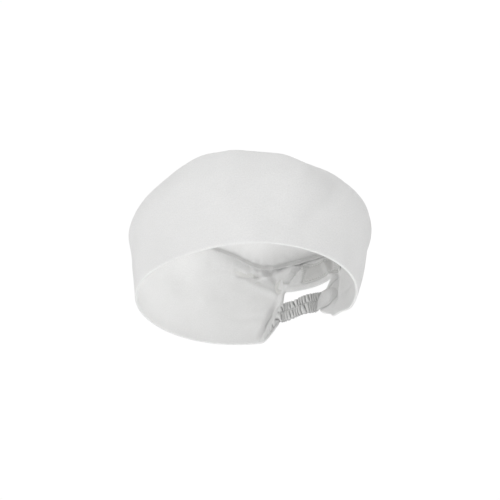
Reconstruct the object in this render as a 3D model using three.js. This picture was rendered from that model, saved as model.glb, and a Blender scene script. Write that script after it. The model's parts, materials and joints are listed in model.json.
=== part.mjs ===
/*
 * Soft cloth cap: a folded band round the head, a closed oval crown, and a gathered
 * elastic strap across a cut-out at the back.
 *
 * Frame: millimetres, +Z up, front of the cap at -Y, cut-out at +Y, wearer's left at +X.
 * The folded lower edge lies in the plane Z = 0. Angles run round Z from the front (0)
 * past +X (90) to the back (180). Heights "up the cloth" are measured along the band.
 */
import * as THREE from "three";
import { mergeVertices } from "three/addons/utils/BufferGeometryUtils.js";

// Rim of the band: distance from the frame's Z axis
const RIM_FRONT = 78.5;
const RIM_SIDE = 98;
const RIM_BACK = 81;

// Band: height up the cloth, outward lean of the lower half, inward roll of the upper half
const BAND_HEIGHT_FRONT = 112.5;
const BAND_HEIGHT_SIDE = 108.5;
const BAND_HEIGHT_BACK = 104.5;
const LEAN_FRONT = 12;
const LEAN_SIDE = 12;
const LEAN_BACK = 16.5;
const ROLL_FRONT = 75;
const ROLL_SIDE = 90;
const ROLL_BACK = 0;
const LEAST_ROLL = 2;
const ROLL_START = 0.5; // share of the height that stays straight
const LEVEL_SHARE = 0.42; // share of the height over which the plies turn from level to the tilt

// Cloth plies and clearances
const CLOTH = 0.6;
const INTERLINING = 0.5;
const PLY_GAP = 0.3;
const SEAM_GAP = 0.35;
const TRIM_GAP = 0.35; // under anything sewn onto the band's inner face
const THREAD = 0.3;
const THREAD_WIDTH = 0.8;
const INTERLINING_MARGIN = 4;
const INTERLINING_MARGIN_ANGLE = 2.5;

// Crown
const CROWN_RISE = 8;
const CROWN_RINGS = 4;
const SEAM_ALLOWANCE = 7;
const ALLOWANCE_LEAN = 2; // extra inward lean, clear of the band
const OVERLOCK_WIDTH = 5;
const SEAM_THREAD_DEPTH = 1;

// Cut-out and tails
const CUTOUT_HALF_ANGLE = 15.5;
const CUTOUT_TOP = 62; // up the cloth
const TAIL_HALF_ANGLE = 24.5; // where the tails meet the rim
const TAIL_CURVE = 1.5;
const BINDING_WIDTH = 4;
const BINDING_INSET = 0.8;
const TOPSTITCH_INSET = 2.4;

// Strap: the gathered casing with the elastic inside it
const STRAP_BOTTOM = 22.5; // up the cloth
const STRAP_WIDTH = 24;
const STRAP_THICKNESS = 3.2;
const STRAP_HALF_ANGLE = 13;
const ELASTIC_WIDTH = 21;
const ELASTIC_THICKNESS = 1.2;
const ELASTIC_END_GAP = 0.5;
const TAB_LENGTH = 16;
const TAB_STITCH_INSET = 2.5;
const STITCH_END_GAP = 1.5;

// Blank tag inside the back of the band
const TAG_WIDTH = 46;
const TAG_HEIGHT = 24;
const TAG_OFF_CENTRE = 12; // towards the wearer's left
const TAG_ABOVE_BINDING = 0.5;
const TAG_STITCH_INSET = 3;
const TAG_THICKNESS = 0.8;

// Facets
const COLUMNS_ROUND = 38;
const TAIL_COLUMNS = 3;
const UPPER_ROWS = 4;
const LOWER_ROWS = [0, 0.42, 0.83, 1];
const SPLIT_MARGIN = 0.01; // share of the height between the highest lower edge and the split row
const CUT_STEP = 0.2; // half the width, in degrees, of a cut edge that stands upright
const BEND_STEP = 7; // longest flat stretch of a trim piece

const BACK = 180;
const RAD = Math.PI / 180;
const PLY_OFFSET = CLOTH + PLY_GAP + INTERLINING / 2; // band's mid surface to its outer face
const sin = (degrees) => Math.sin(degrees * RAD);
const cos = (degrees) => Math.cos(degrees * RAD);

/** A smooth value round the cap from its front, side and back values. */
function around(front, side, back) {
  const ends = (front + back) / 2;
  const middle = (ends + side) / 2;
  return (angle) => middle + ((front - back) / 2) * cos(angle) + ((ends - side) / 2) * cos(2 * angle);
}

const rimRadius = around(RIM_FRONT, RIM_SIDE, RIM_BACK);
const bandHeight = around(BAND_HEIGHT_FRONT, BAND_HEIGHT_SIDE, BAND_HEIGHT_BACK);
const bandLean = around(LEAN_FRONT, LEAN_SIDE, LEAN_BACK);
const bandRoll = around(ROLL_FRONT, ROLL_SIDE, ROLL_BACK);

/** Radius, height and outward tilt of the band's mid surface, a share of the way up the cloth. */
function bandAt(angle, share) {
  const height = bandHeight(angle);
  const lean = bandLean(angle);
  const roll = Math.max(bandRoll(angle), LEAST_ROLL);
  const straight = Math.min(share, ROLL_START) * height;
  const rolled = Math.max(share - ROLL_START, 0) * height;
  const rollRadius = ((1 - ROLL_START) * height) / (roll * RAD);
  const tilt = lean - rolled / rollRadius / RAD;
  return {
    radius: rimRadius(angle) + straight * sin(lean) + rollRadius * (cos(tilt) - cos(lean)),
    z: straight * cos(lean) + rollRadius * (sin(lean) - sin(tilt)),
    tilt: tilt,
  };
}

function polar(angle, radius, z) {
  return new THREE.Vector3(radius * sin(angle), -radius * cos(angle), z);
}

/** Point on the band, lifted outwards from the mid surface; the lower edge stays level. */
function bandPoint(angle, share, lift) {
  const { radius, z, tilt } = bandAt(angle, share);
  const levelled = tilt * Math.min(share / LEVEL_SHARE, 1);
  return polar(angle, radius + lift * cos(levelled), z - lift * sin(levelled));
}

/** Height up the cloth of the band's lower edge: the rim, the tails' curve or the cut-out's top. */
function lowerEdge(angle) {
  const offset = Math.abs(angle - BACK);
  if (offset <= CUTOUT_HALF_ANGLE) {
    return CUTOUT_TOP;
  }
  const towardsCutout = (TAIL_HALF_ANGLE - offset) / (TAIL_HALF_ANGLE - CUTOUT_HALF_ANGLE);
  return STRAP_BOTTOM * Math.max(towardsCutout, 0) ** TAIL_CURVE;
}

/** Angles of the facet columns, with a pair of columns at each upright edge of the cut-out. */
function columnAngles() {
  const offsets = [CUTOUT_HALF_ANGLE * 0.5, CUTOUT_HALF_ANGLE - CUT_STEP];
  const firstTail = CUTOUT_HALF_ANGLE + CUT_STEP;
  for (let step = 0; step <= TAIL_COLUMNS; step += 1) {
    offsets.push(firstTail + ((TAIL_HALF_ANGLE - firstTail) * step) / TAIL_COLUMNS);
  }
  const round = 2 * (BACK - TAIL_HALF_ANGLE);
  const angles = [];
  for (let step = 1; step < COLUMNS_ROUND; step += 1) {
    angles.push(TAIL_HALF_ANGLE - BACK + (round * step) / COLUMNS_ROUND);
  }
  const right = offsets.map((offset) => BACK - offset).reverse();
  const left = offsets.map((offset) => BACK + offset);
  return [...angles, ...right, BACK, ...left];
}

const COLUMNS = columnAngles();
// Rows above this share are level all round, the stiffener's too
const SPLIT_SHARE = (CUTOUT_TOP + INTERLINING_MARGIN) / BAND_HEIGHT_BACK + SPLIT_MARGIN;

/** Shares of the cloth's height at which a wall has its facet rows. */
function rowShares(bottomShare, topShare) {
  const lower = LOWER_ROWS.map((part) => bottomShare + (SPLIT_SHARE - bottomShare) * part);
  const upper = [];
  for (let row = 1; row <= UPPER_ROWS; row += 1) {
    upper.push(SPLIT_SHARE + ((topShare - SPLIT_SHARE) * row) / UPPER_ROWS);
  }
  return [...lower, ...upper];
}

/** Clean closed body: shared vertices merged, empty triangles dropped, faces outwards. */
function solid(geometry) {
  geometry.deleteAttribute("normal");
  geometry.deleteAttribute("uv");
  const merged = mergeVertices(geometry, 1e-4);
  const points = merged.attributes.position;
  const corners = merged.index.array;
  const kept = [];
  let volume = 0;
  const [a, b, c] = [new THREE.Vector3(), new THREE.Vector3(), new THREE.Vector3()];
  for (let i = 0; i < corners.length; i += 3) {
    const [p, q, r] = corners.slice(i, i + 3);
    if (p === q || q === r || r === p) {
      continue;
    }
    kept.push(p, q, r);
    volume += a.fromBufferAttribute(points, p).dot(
      b.fromBufferAttribute(points, q).cross(c.fromBufferAttribute(points, r)));
  }
  merged.setIndex(volume < 0 ? kept.reverse() : kept);
  merged.computeVertexNormals();
  return merged;
}

/**
 * Body through a row of loops of points, joined end to end or capped at its two ends.
 * Every facet's diagonal rises the same way round, so nested walls stay parallel.
 */
function throughLoops(loops, endToEnd) {
  const size = loops[0].length;
  const triangles = [];
  const spans = endToEnd ? loops.length : loops.length - 1;
  for (let column = 0; column < spans; column += 1) {
    const next = (column + 1) % loops.length;
    for (let row = 0; row < size; row += 1) {
      const nextRow = (row + 1) % size;
      const [here, above] = [column * size + row, column * size + nextRow];
      const [beside, across] = [next * size + row, next * size + nextRow];
      const rising = loops[column][row].z < loops[column][nextRow].z;
      if (rising) {
        triangles.push(here, beside, across, here, across, above);
      } else {
        triangles.push(here, beside, above, beside, across, above);
      }
    }
  }
  if (!endToEnd) {
    const last = (loops.length - 1) * size;
    for (let row = 2; row < size; row += 1) {
      triangles.push(0, row - 1, row, last, last + row, last + row - 1);
    }
  }
  const geometry = new THREE.BufferGeometry().setFromPoints(loops.flat());
  geometry.setIndex(triangles);
  return geometry;
}

/** Body swept round the cap: section(angle) gives one closed loop of points per column. */
function sweptRound(section) {
  return solid(throughLoops(COLUMNS.map((angle) => section(angle)), true));
}

const CUTOUT_MIDDLE_SHARE = (CUTOUT_TOP + STRAP_BOTTOM) / 2 / BAND_HEIGHT_BACK;
const BACK_RADIUS = bandAt(BACK, CUTOUT_MIDDLE_SHARE).radius;
const CUTOUT_HALF_WIDTH = CUTOUT_HALF_ANGLE * RAD * BACK_RADIUS;

/** Bends a flat piece onto the band's inner face: x round from the back, y up the cloth, z inwards. */
function bentOnInnerFace(geometry, clearance) {
  const points = geometry.attributes.position;
  for (let i = 0; i < points.count; i += 1) {
    const angle = BACK - points.getX(i) / BACK_RADIUS / RAD;
    const share = points.getY(i) / bandHeight(angle);
    const { x, y, z } = bandPoint(angle, share, -(PLY_OFFSET + clearance + points.getZ(i)));
    points.setXYZ(i, x, y, z);
  }
  return solid(geometry);
}

/** Flat rectangle with enough facets to bend, its lower face at z = 0. */
function flatPiece(width, height, thickness, x, y) {
  const steps = [width, height].map((side) => Math.ceil(side / BEND_STEP));
  const box = new THREE.BoxGeometry(width, height, thickness, ...steps, 1);
  return box.translate(x, y, thickness / 2);
}

/** Corner points with more between them, close enough together to bend. */
function stepsAlong(corners, endToEnd) {
  const path = [];
  const legs = endToEnd ? corners.length : corners.length - 1;
  for (let leg = 0; leg < legs; leg += 1) {
    const from = corners[leg];
    const to = corners[(leg + 1) % corners.length];
    const steps = Math.ceil(from.distanceTo(to) / BEND_STEP);
    for (let step = 0; step < steps; step += 1) {
      path.push(from.clone().lerp(to, step / steps));
    }
  }
  return endToEnd ? path : [...path, corners.at(-1)];
}

/** Flat tape of even width to the left of a path with square corners, its lower face at z = 0. */
function tapeAlong(corners, width, thickness, endToEnd) {
  const path = stepsAlong(corners, endToEnd);
  const loops = path.map((point, i) => {
    const before = path[i - 1] ?? (endToEnd ? path.at(-1) : null);
    const after = path[i + 1] ?? (endToEnd ? path[0] : null);
    const along = [before && point.clone().sub(before), after && after.clone().sub(point)];
    const ways = along.filter(Boolean).map((way) => way.normalize());
    const turned = ways.length === 2 && Math.abs(ways[0].dot(ways[1])) < 0.5;
    const aside = turned ? ways[0].add(ways[1]) : ways[0];
    const outer = new THREE.Vector2(point.x - aside.y * width, point.y + aside.x * width);
    return [[point, 0], [outer, 0], [outer, thickness], [point, thickness]].map(
      ([place, z]) => new THREE.Vector3(place.x, place.y, z));
  });
  return throughLoops(loops, endToEnd);
}

/** Strip of tape along the sides and top of the cut-out, outwards from an inset. */
function cutoutTape(inset, width, bottom, thickness) {
  const side = CUTOUT_HALF_WIDTH + inset;
  const top = CUTOUT_TOP + inset;
  const corners = [[-side, bottom], [-side, top], [side, top], [side, bottom]];
  return tapeAlong(corners.map((corner) => new THREE.Vector2(...corner)), width, thickness, false);
}

/** Closed line of stitching just inside a rectangle. */
function stitchedRectangle(width, height, x, y) {
  const corners = [[-1, -1], [1, -1], [1, 1], [-1, 1]].map(
    ([right, up]) => new THREE.Vector2(x + (right * width) / 2, y + (up * height) / 2));
  return tapeAlong(corners, THREAD_WIDTH, THREAD, true);
}

const cap = new THREE.Group();
const whiteCloth = { color: 0xe6e6e4, roughness: 0.95, metalness: 0 };
const whiteThread = { color: 0xf0f0ee, roughness: 0.7, metalness: 0 };
const stiffCloth = { color: 0xdcdcd8, roughness: 0.95, metalness: 0 };
const greyTape = { color: 0xb8b9bb, roughness: 0.85, metalness: 0 };
const elasticWeb = { color: 0xd8d8d4, roughness: 0.8, metalness: 0 };

function addPiece(name, geometry, finish, parent = cap) {
  const mesh = new THREE.Mesh(geometry, new THREE.MeshStandardMaterial(finish));
  mesh.name = name;
  parent.add(mesh);
  return mesh;
}

// ---- Band: one cloth folded up at the rim and round the cut-out, with a stiffener inside ----

function bandSection(angle) {
  const bottom = lowerEdge(angle) / bandHeight(angle);
  const foldShare = bottom + CLOTH / bandHeight(angle);
  const face = (firstShare, lift) =>
    rowShares(firstShare, 1).map((share) => bandPoint(angle, share, lift));
  return [
    ...face(bottom, PLY_OFFSET),
    ...face(foldShare, PLY_OFFSET - CLOTH).reverse(),
    ...face(foldShare, CLOTH - PLY_OFFSET),
    ...face(bottom, -PLY_OFFSET).reverse(),
  ];
}

function interliningSection(angle) {
  const offset = Math.max(Math.abs(angle - BACK) - INTERLINING_MARGIN_ANGLE, 0);
  const bottom = (lowerEdge(BACK + offset) + INTERLINING_MARGIN) / bandHeight(angle);
  const face = (lift) => rowShares(bottom, 1).map((share) => bandPoint(angle, share, lift));
  return [...face(INTERLINING / 2), ...face(-INTERLINING / 2).reverse()];
}

addPiece("band_fabric", sweptRound(bandSection), whiteCloth);
addPiece("band_interlining", sweptRound(interliningSection), stiffCloth);

// ---- Crown: a domed oval whose edge turns down inside the band as a seam allowance ----

/** Point on the crown's turned-down edge, a depth below its fold and lifted inwards. */
function allowancePoint(angle, depth, inwards) {
  const { radius, z, tilt } = bandAt(angle, 1);
  const inset = PLY_OFFSET * cos(tilt) + SEAM_GAP + inwards;
  const lean = bandLean(angle) + ALLOWANCE_LEAN;
  return polar(angle, radius - inset - depth * sin(lean), z - PLY_OFFSET * sin(tilt) - depth * cos(lean));
}

const CROWN_MIDDLE_Y = (allowancePoint(0, 0, 0).y + allowancePoint(BACK, 0, 0).y) / 2;
const CROWN_MIDDLE_Z = allowancePoint(BACK / 2, 0, 0).z + CROWN_RISE;

/** Points from the crown's middle to its edge; the height follows the edge and rises inwards. */
function crownFace(angle, below, inwards) {
  const edge = allowancePoint(angle, below, inwards);
  const middle = new THREE.Vector3(0, CROWN_MIDDLE_Y, CROWN_MIDDLE_Z - below);
  return Array.from({ length: CROWN_RINGS }, (_, ring) => {
    const out = ring / CROWN_RINGS;
    const point = middle.clone().lerp(edge, out);
    point.z = middle.z + (edge.z - middle.z) * out * out;
    return point;
  }).concat(edge);
}

function crownSection(angle) {
  return [
    ...crownFace(angle, 0, 0),
    allowancePoint(angle, SEAM_ALLOWANCE, 0),
    allowancePoint(angle, SEAM_ALLOWANCE, CLOTH),
    ...crownFace(angle, CLOTH, CLOTH).reverse(),
  ];
}

/** Thread lying on the inner side of the turned-down edge. */
function allowanceThread(fromDepth, width) {
  const inner = CLOTH + PLY_GAP;
  return (angle) => [
    allowancePoint(angle, fromDepth, inner),
    allowancePoint(angle, fromDepth + width, inner),
    allowancePoint(angle, fromDepth + width, inner + THREAD),
    allowancePoint(angle, fromDepth, inner + THREAD),
  ];
}

const overlockDepth = SEAM_ALLOWANCE - OVERLOCK_WIDTH;
addPiece("crown_panel", sweptRound(crownSection), whiteCloth);
const overlock = allowanceThread(overlockDepth + THREAD, OVERLOCK_WIDTH);
const seamStitch = allowanceThread(SEAM_THREAD_DEPTH, THREAD_WIDTH);
addPiece("crown_overlock", sweptRound(overlock), whiteThread);
addPiece("crown_seam_thread", sweptRound(seamStitch), whiteThread);

// ---- Cut-out: a narrow binding on its edge, with a row of topstitching ----

const topstitchClearance = TRIM_GAP + CLOTH + TRIM_GAP;
const bindingBottom = STRAP_BOTTOM + BINDING_INSET;
addPiece("cutout_binding",
  bentOnInnerFace(cutoutTape(BINDING_INSET, BINDING_WIDTH, bindingBottom, CLOTH), TRIM_GAP), whiteCloth);
addPiece("cutout_topstitch", bentOnInnerFace(
  cutoutTape(TOPSTITCH_INSET, THREAD_WIDTH, STRAP_BOTTOM + STRAP_WIDTH + TRIM_GAP, THREAD),
  topstitchClearance), whiteThread);

// ---- Blank tag sewn above the cut-out ----

const tagBottom = CUTOUT_TOP + BINDING_INSET + BINDING_WIDTH + TAG_ABOVE_BINDING;
const tagMiddle = tagBottom + TAG_HEIGHT / 2;
const tagStitch = [TAG_WIDTH - 2 * TAG_STITCH_INSET, TAG_HEIGHT - 2 * TAG_STITCH_INSET];
addPiece("tag_patch", bentOnInnerFace(
  flatPiece(TAG_WIDTH, TAG_HEIGHT, TAG_THICKNESS, TAG_OFF_CENTRE, tagMiddle), TRIM_GAP), greyTape);
addPiece("tag_stitching", bentOnInnerFace(
  stitchedRectangle(...tagStitch, TAG_OFF_CENTRE, tagMiddle),
  TRIM_GAP + TAG_THICKNESS + TRIM_GAP), whiteThread);

// ---- Tabs: the casing's flat ends, sewn onto the tails' inner faces ----

const tabClearance = TRIM_GAP + CLOTH + TRIM_GAP;
const strapMiddle = STRAP_BOTTOM + STRAP_WIDTH / 2;
const tabStart = STRAP_HALF_ANGLE * RAD * BACK_RADIUS;
for (const [side, direction] of [["left", 1], ["right", -1]]) {
  const tabMiddle = direction * (tabStart + TAB_LENGTH / 2);
  const stitchX = direction * (tabStart + TAB_LENGTH - TAB_STITCH_INSET);
  addPiece(`strap_tab_${side}`, bentOnInnerFace(
    flatPiece(TAB_LENGTH, STRAP_WIDTH, CLOTH, tabMiddle, strapMiddle), tabClearance), whiteCloth);
  addPiece(`tab_stitch_${side}`, bentOnInnerFace(
    flatPiece(THREAD_WIDTH, STRAP_WIDTH - 2 * STITCH_END_GAP, THREAD, stitchX, strapMiddle),
    tabClearance + CLOTH + TRIM_GAP), whiteThread);
}

// ---- Strap: a flat tube of cloth with the elastic inside, straight between the tabs ----

function rectanglePath(PathType, depth, height) {
  return new PathType([
    new THREE.Vector2(-depth / 2, -height / 2),
    new THREE.Vector2(depth / 2, -height / 2),
    new THREE.Vector2(depth / 2, height / 2),
    new THREE.Vector2(-depth / 2, height / 2),
  ]);
}

/** Flat tube along X, its width up Z, centred on the origin. */
function casingTube(length) {
  const shape = rectanglePath(THREE.Shape, STRAP_THICKNESS, STRAP_WIDTH);
  shape.holes.push(rectanglePath(THREE.Path, STRAP_THICKNESS - 2 * CLOTH, STRAP_WIDTH - 2 * CLOTH));
  const tube = new THREE.ExtrudeGeometry(shape, { depth: length, steps: 1, bevelEnabled: false });
  tube.translate(0, 0, -length / 2);
  tube.rotateY(Math.PI / 2);
  tube.rotateX(Math.PI / 2);
  return solid(tube);
}

const strap = new THREE.Group();
const strapShare = strapMiddle / BAND_HEIGHT_BACK;
const strapAnchor = bandPoint(BACK - STRAP_HALF_ANGLE, strapShare, -(PLY_OFFSET + tabClearance));
const tabCorner = bandPoint(
  BACK - STRAP_HALF_ANGLE, STRAP_BOTTOM / BAND_HEIGHT_BACK, -(PLY_OFFSET + tabClearance + CLOTH));
const strapLength = 2 * (tabCorner.x - SEAM_GAP);
strap.position.set(0, strapAnchor.y, strapAnchor.z);
strap.rotation.x = -LEAN_BACK * RAD;
cap.add(strap);

addPiece("strap_casing", casingTube(strapLength), whiteCloth, strap);
addPiece("strap_elastic",
  solid(new THREE.BoxGeometry(strapLength - 2 * ELASTIC_END_GAP, ELASTIC_THICKNESS, ELASTIC_WIDTH)),
  elasticWeb, strap);
for (const [side, direction] of [["outer", 1], ["inner", -1]]) {
  const stitch = addPiece(`strap_stitch_${side}`,
    solid(new THREE.BoxGeometry(strapLength - 2 * STITCH_END_GAP, THREAD, THREAD_WIDTH)),
    whiteThread, strap);
  stitch.position.y = direction * (STRAP_THICKNESS / 2 + PLY_GAP + THREAD / 2);
}

// The origin stands under the middle of the whole cap
const extent = new THREE.Box3().setFromObject(cap);
cap.position.y = -(extent.min.y + extent.max.y) / 2;

export default cap;
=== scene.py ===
"""
Soft cloth cap: folded band, domed crown, back cut-out, blank tag and gathered elastic strap.

Metres, +Z up, forehead at -Y, cut-out at +Y. Angles run round Z from the front (0 degrees)
past +X (90) to the back (180). Heights "up the cloth" are measured along the band.
"""
import json
import math

import bmesh
import bpy
import numpy as np
from bpy.props import FloatProperty, FloatVectorProperty, PointerProperty
from mathutils import Matrix, Vector


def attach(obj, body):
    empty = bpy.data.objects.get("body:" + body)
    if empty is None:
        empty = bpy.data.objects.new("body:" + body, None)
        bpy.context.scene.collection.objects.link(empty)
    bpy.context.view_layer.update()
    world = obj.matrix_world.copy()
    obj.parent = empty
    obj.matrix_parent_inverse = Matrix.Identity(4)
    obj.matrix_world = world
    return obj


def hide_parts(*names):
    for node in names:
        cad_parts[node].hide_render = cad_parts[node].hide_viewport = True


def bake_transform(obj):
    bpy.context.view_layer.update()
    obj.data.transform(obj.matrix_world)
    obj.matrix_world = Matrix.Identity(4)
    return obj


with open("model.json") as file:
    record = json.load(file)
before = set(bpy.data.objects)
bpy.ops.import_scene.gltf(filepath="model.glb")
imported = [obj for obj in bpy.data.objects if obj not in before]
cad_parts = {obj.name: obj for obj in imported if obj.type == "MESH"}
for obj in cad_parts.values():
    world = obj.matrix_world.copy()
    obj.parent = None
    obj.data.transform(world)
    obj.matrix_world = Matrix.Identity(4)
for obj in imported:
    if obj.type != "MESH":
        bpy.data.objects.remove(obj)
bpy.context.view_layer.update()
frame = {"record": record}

bl_info = {
    "name": "Soft Cloth Cap",
    "version": (1, 0, 0),
    "blender": (4, 5, 0),
    "location": "3D View > Sidebar > Cloth Cap",
    "description": "Makes a folded cloth cap with a gathered elastic strap",
    "category": "Add Mesh",
}

MM = 0.001
FRONT, BACK = 0.0, 180.0
LEAST_ROLL = 2.0
# how far a line is lifted to show which way its stitches face
RAISED = 0.001
# spacing, length and thickness of each kind of stitch
SEAM_STITCH = (0.0026, 0.0023, 0.0005)
EDGE_LOOP = (0.0019, 0.0020, 0.0006)
HEM_STITCH = (0.0027, 0.0023, 0.00045)
TAG_STITCH = (0.0025, 0.0021, 0.00045)
STRAP_STITCH = (0.0021, 0.0018, 0.00045)
TAB_STITCH = (0.0024, 0.0020, 0.00045)
OVERLOCK_THREAD = 0.00042


def length(name, description, default):
    """A size in metres for a property group."""
    return FloatProperty(name=name, description=description, default=default, min=0.0,
                         unit="LENGTH", subtype="DISTANCE", precision=5)


def angle(name, description, degrees):
    """An angle for a property group, given in degrees."""
    return FloatProperty(name=name, description=description, default=math.radians(degrees),
                         unit="ROTATION", subtype="ANGLE")


def colour(name, description, default):
    """A linear colour for a property group."""
    return FloatVectorProperty(name=name, description=description, default=default, size=3,
                               min=0.0, max=1.0, subtype="COLOR")


# ---------------------------------------------------------------- sizes and colours


class CapBandSizes(bpy.types.PropertyGroup):
    """Sizes of the folded band round the head."""

    rim_front: length("Rim front", "From the middle axis to the rim at the forehead", 0.0785)
    rim_side: length("Rim side", "From the middle axis to the rim at the ears", 0.098)
    rim_back: length("Rim back", "From the middle axis to the rim at the nape", 0.081)
    height_front: length("Height front", "Band height up the cloth at the forehead", 0.1125)
    height_side: length("Height side", "Band height up the cloth at the ears", 0.1085)
    height_back: length("Height back", "Band height up the cloth at the nape", 0.1045)
    lean_front: angle("Lean front", "Outward lean of the lower half at the forehead", 12.0)
    lean_side: angle("Lean side", "Outward lean of the lower half at the ears", 12.0)
    lean_back: angle("Lean back", "Outward lean of the lower half at the nape", 16.5)
    roll_front: angle("Roll front", "Inward roll of the upper half at the forehead", 75.0)
    roll_side: angle("Roll side", "Inward roll of the upper half at the ears", 90.0)
    roll_back: angle("Roll back", "Inward roll of the upper half at the nape", 0.0)
    cloth: length("Cloth", "Thickness of one ply", 0.0006)
    stiffener: length("Stiffener", "Thickness of the stiffener between the plies", 0.0005)
    ply_offset: length("Ply offset", "From the band's middle to its outer face", 0.00115)


class CapCutoutSizes(bpy.types.PropertyGroup):
    """Sizes of the cut-out at the back and of the tails beside it."""

    half_angle: angle("Half angle", "Half the cut-out's width round the cap", 15.5)
    top: length("Top", "Height of the cut-out's top up the cloth", 0.062)
    corner: length("Corner", "Radius of the cut-out's upper corners", 0.003)
    tail_half_angle: angle("Tail half angle", "Where the tails meet the rim", 24.5)
    tail_top: length("Tail top", "Where the tails' curve starts, up the cloth", 0.0225)
    hem_width: length("Hem width", "Width of the hem tape round the cut-out", 0.004)
    hem_inset: length("Hem inset", "From the cut edge to the hem tape", 0.0008)


class CapStrapSizes(bpy.types.PropertyGroup):
    """Sizes of the gathered strap and its tabs."""

    width: length("Width", "Width of the gathered casing", 0.024)
    bottom: length("Bottom", "Height of the casing's lower edge up the cloth", 0.0225)
    half_angle: angle("Half angle", "Where the tabs start, from the middle of the back", 13.0)
    tab: length("Tab", "Length of each flat sewn end", 0.016)
    pucker: length("Pucker spacing", "Distance from one pucker to the next", 0.0031)
    pucker_depth: length("Pucker depth", "How far a pucker stands up", 0.0029)
    elastic_width: length("Elastic width", "Width of the elastic inside the casing", 0.0168)


class CapTagSizes(bpy.types.PropertyGroup):
    """Sizes of the blank tag inside the back of the band."""

    width: length("Width", "Width of the tag", 0.046)
    height: length("Height", "Height of the tag", 0.024)
    off_centre: length("Off centre", "From the back's middle, towards the wearer's left", 0.012)
    corner: length("Corner", "Radius of the tag's corners", 0.004)
    stitch_inset: length("Stitch inset", "From the tag's edge to its stitching", 0.003)


class CapCrownSizes(bpy.types.PropertyGroup):
    """Sizes of the crown and its turned-down edge."""

    rise: length("Rise", "How far the middle stands over the side edges", 0.008)
    allowance: length("Allowance", "Depth of the turned-down edge", 0.007)
    gap: length("Gap", "From the band's inner face to the turned-down edge", 0.00035)


class CapLooks(bpy.types.PropertyGroup):
    """Colours of the cap and the stage."""

    cloth: colour("Cloth", "White woven cloth", (0.83, 0.83, 0.825))
    thread: colour("Thread", "Sewing thread", (0.86, 0.86, 0.85))
    tape: colour("Tape", "Ribbed tag tape", (0.62, 0.62, 0.61))
    stiffener: colour("Stiffener", "Nonwoven stiffener", (0.76, 0.76, 0.74))
    elastic: colour("Elastic", "Knitted elastic", (0.78, 0.78, 0.76))
    floor: colour("Floor", "Plain pale floor", (0.90, 0.90, 0.90))
    surround: FloatProperty(name="Surround", description="Brightness of the white surround",
                            default=0.79, min=0.0)
    key: FloatProperty(name="Key light", description="Strength of the key light", default=3.5,
                       min=0.0, unit="POWER")
    fill: FloatProperty(name="Fill light", description="Strength of the light from below",
                        default=1.4, min=0.0, unit="POWER")
    inner: FloatProperty(name="Inner light", description="Strength of the light under the opening",
                         default=0.085, min=0.0, unit="POWER")
    side: FloatProperty(name="Side light", description="Strength of the light from the wearer's left",
                        default=1.7, min=0.0, unit="POWER")


# ---------------------------------------------------------------- the band's shape


def smoothstep(low, high, value):
    """0 below low, 1 above high and smooth between."""
    share = np.clip((value - low) / (high - low), 0.0, 1.0)
    return share * share * (3 - 2 * share)


def around(front, side, back, degrees):
    """A smooth value round the cap from its front, side and back values."""
    ends = (front + back) / 2
    turn = np.radians(degrees)
    return (ends + side) / 2 + (front - back) / 2 * np.cos(turn) + (ends - side) / 2 * np.cos(2 * turn)


def away_from(degrees, place):
    """Degrees round the cap from a place, from -180 to 180."""
    return (degrees - place + 180) % 360 - 180


def back_corners(degrees):
    """1 at the two back corners, fading to 0 round the rest."""
    return np.exp(-((np.abs(degrees - BACK) - 30) / 12) ** 2)


def mirrored(side, place):
    """A place on the flat cloth, moved to the other side of the back's middle for a side of -1."""
    return side * place[0], place[1]


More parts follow.
